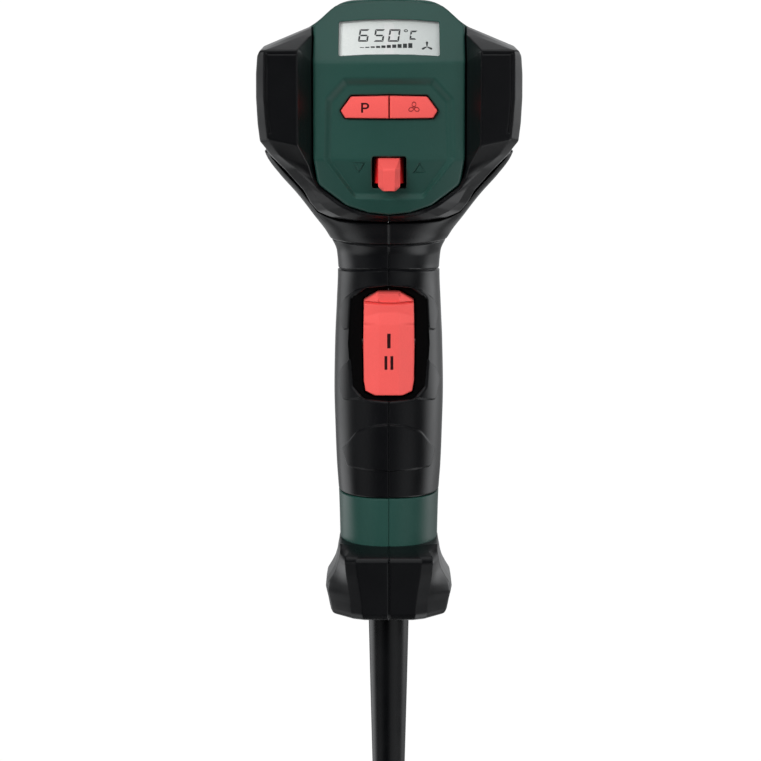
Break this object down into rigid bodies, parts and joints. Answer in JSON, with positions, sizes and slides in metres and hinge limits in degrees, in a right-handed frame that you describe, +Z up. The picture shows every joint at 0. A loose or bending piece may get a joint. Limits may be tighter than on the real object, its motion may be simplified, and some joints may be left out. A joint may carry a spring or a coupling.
{
  "type": "heat gun",
  "caption": "Pistol-form electric heat gun with a rear display panel, side bumpers, rocker switch, steel outlet tube and removable heat guard.",
  "frame": {"origin": "middle of the handle foot's rear rest face, on the tool's centre plane; Y = 0 is the plane the tool stands on nose up", "axes": "+Y along the barrel the way the hot air leaves, +Z up the handle, +X to the user's right"},
  "size_m": [0.09, 0.25, 0.3323],
  "materials": {
    "green_shell": "fine moulded texture, dark green",
    "black_rubber": "matte, fine grain",
    "black_plastic": "satin",
    "red_key": "satin coral red",
    "clear_window": "clear moulded window",
    "display": "grey reflective display",
    "board": "coated circuit board",
    "steel": "plated",
    "nozzle_steel": "drawn tube, heat tinted near the mouth",
    "copper": "varnished winding",
    "ceramic": "unglazed",
    "mica": "rolled sheet",
    "heating_wire": "oxidised resistance wire",
    "fan_plastic": "moulded",
    "filter_mesh": "fine mesh",
    "cable_rubber": "smooth",
    "core_brown": "smooth insulation",
    "core_blue": "smooth insulation",
    "aluminium": "extruded"
  },
  "bodies": {
    "housing": {"housing_left": "green_shell", "housing_right": "green_shell", "grip_left": "black_rubber", "grip_right": "black_rubber", "bumper_left": "black_rubber", "bumper_right": "black_rubber", "foot_left": "black_plastic", "foot_right": "black_plastic", "control_panel": "green_shell", "display_window": "clear_window", "display_module": "display", "control_board": "board", "keypad_mat": "black_rubber", "intake_grille_left": "black_plastic", "intake_grille_right": "black_plastic", "filter_left": "filter_mesh", "filter_right": "filter_mesh", "switch_module": "black_plastic", "rocker_pin": "steel", "toggle_pin": "steel", "motor_can": "steel", "motor_end_cap": "black_plastic", "motor_bracket": "black_plastic", "air_guide": "black_plastic", "heater_flange": "ceramic", "mica_sleeve": "mica", "heater_core": "ceramic", "heating_coil": "heating_wire", "thermocouple": "steel", "nozzle_tube": "nozzle_steel", "front_ring": "black_plastic", "power_board": "board", "heat_sink": "aluminium", "capacitor": "black_plastic", "cable_clamp": "black_plastic", "clamp_screw_1": "steel", "clamp_screw_2": "steel", "cable_boot": "cable_rubber", "power_cable": "cable_rubber", "core_live": "core_brown", "core_neutral": "core_blue", "housing_screw_1": "steel", "housing_screw_2": "steel", "housing_screw_3": "steel", "housing_screw_4": "steel", "housing_screw_5": "steel", "housing_screw_6": "steel"},
    "rotor": {"impeller": "fan_plastic", "motor_shaft": "steel", "motor_rotor": "copper"},
    "rocker": {"rocker": "red_key"},
    "toggle": {"temperature_toggle": "red_key"},
    "program_key": {"program_button": "red_key"},
    "airflow_key": {"airflow_button": "red_key"},
    "heat_guard": {"nozzle_guard": "black_plastic"}
  },
  "joints": [
    {"name": "rotor_spin", "type": "hinge", "parent": "housing", "child": "rotor", "pos_m": [0, 0.0776, 0.17], "axis": [0, 1, 0], "continuous": true},
    {"name": "rocker_tilt", "type": "hinge", "parent": "housing", "child": "rocker", "pos_m": [0, 0.0275, 0.083], "axis": [1, 0, 0], "range_deg": [0, 14]},
    {"name": "toggle_swing", "type": "hinge", "parent": "housing", "child": "toggle", "pos_m": [0, 0.0138, 0.144], "axis": [0, 0, 1], "range_deg": [-12, 12]},
    {"name": "program_press", "type": "slide", "parent": "housing", "child": "program_key", "axis": [0, 1, 0], "range_m": [0, 0.0008]},
    {"name": "airflow_press", "type": "slide", "parent": "housing", "child": "airflow_key", "axis": [0, 1, 0], "range_m": [0, 0.0008]},
    {"name": "guard_removal", "type": "slide", "parent": "housing", "child": "heat_guard", "axis": [0, 1, 0], "range_m": [0, 0.09]}
  ]
}
